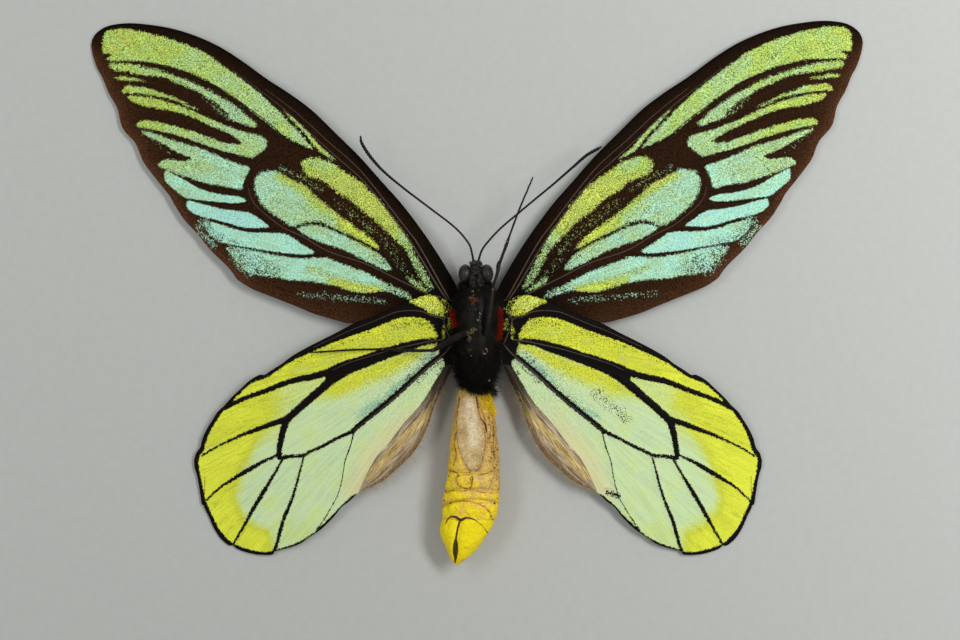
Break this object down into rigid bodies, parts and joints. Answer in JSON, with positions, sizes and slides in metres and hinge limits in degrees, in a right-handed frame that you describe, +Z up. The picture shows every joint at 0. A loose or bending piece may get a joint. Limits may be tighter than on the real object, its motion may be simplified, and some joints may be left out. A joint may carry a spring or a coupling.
{
  "type": "pinned butterfly specimen",
  "caption": "Large spread birdwing butterfly on an insect pin, lying on its back with the patterned underside up, wings open.",
  "frame": {"origin": "middle of the pin's flat head, on the plane the specimen lies on", "axes": "+Z up through the underside of the body, along the pin to its point; +Y towards the head; +X to the right seen from above"},
  "size_m": [0.1652, 0.116, 0.037],
  "materials": {
    "forewing": "matte",
    "hindwing": "matte",
    "fur": "matte",
    "eye": "gloss",
    "limb": "satin",
    "abdomen": "satin",
    "pin_steel": "polished"
  },
  "bodies": {
    "root": {"forewing_left": "forewing", "forewing_right": "forewing", "hindwing_left": "hindwing", "hindwing_right": "hindwing", "thorax": "fur", "head": "fur", "eye_left": "eye", "eye_right": "eye", "antenna_left": "limb", "antenna_right": "limb", "leg_left": "limb", "leg_right": "limb", "abdomen": "abdomen", "clasper_left": "abdomen", "clasper_right": "abdomen", "pin": "pin_steel"}
  },
  "joints": []
}
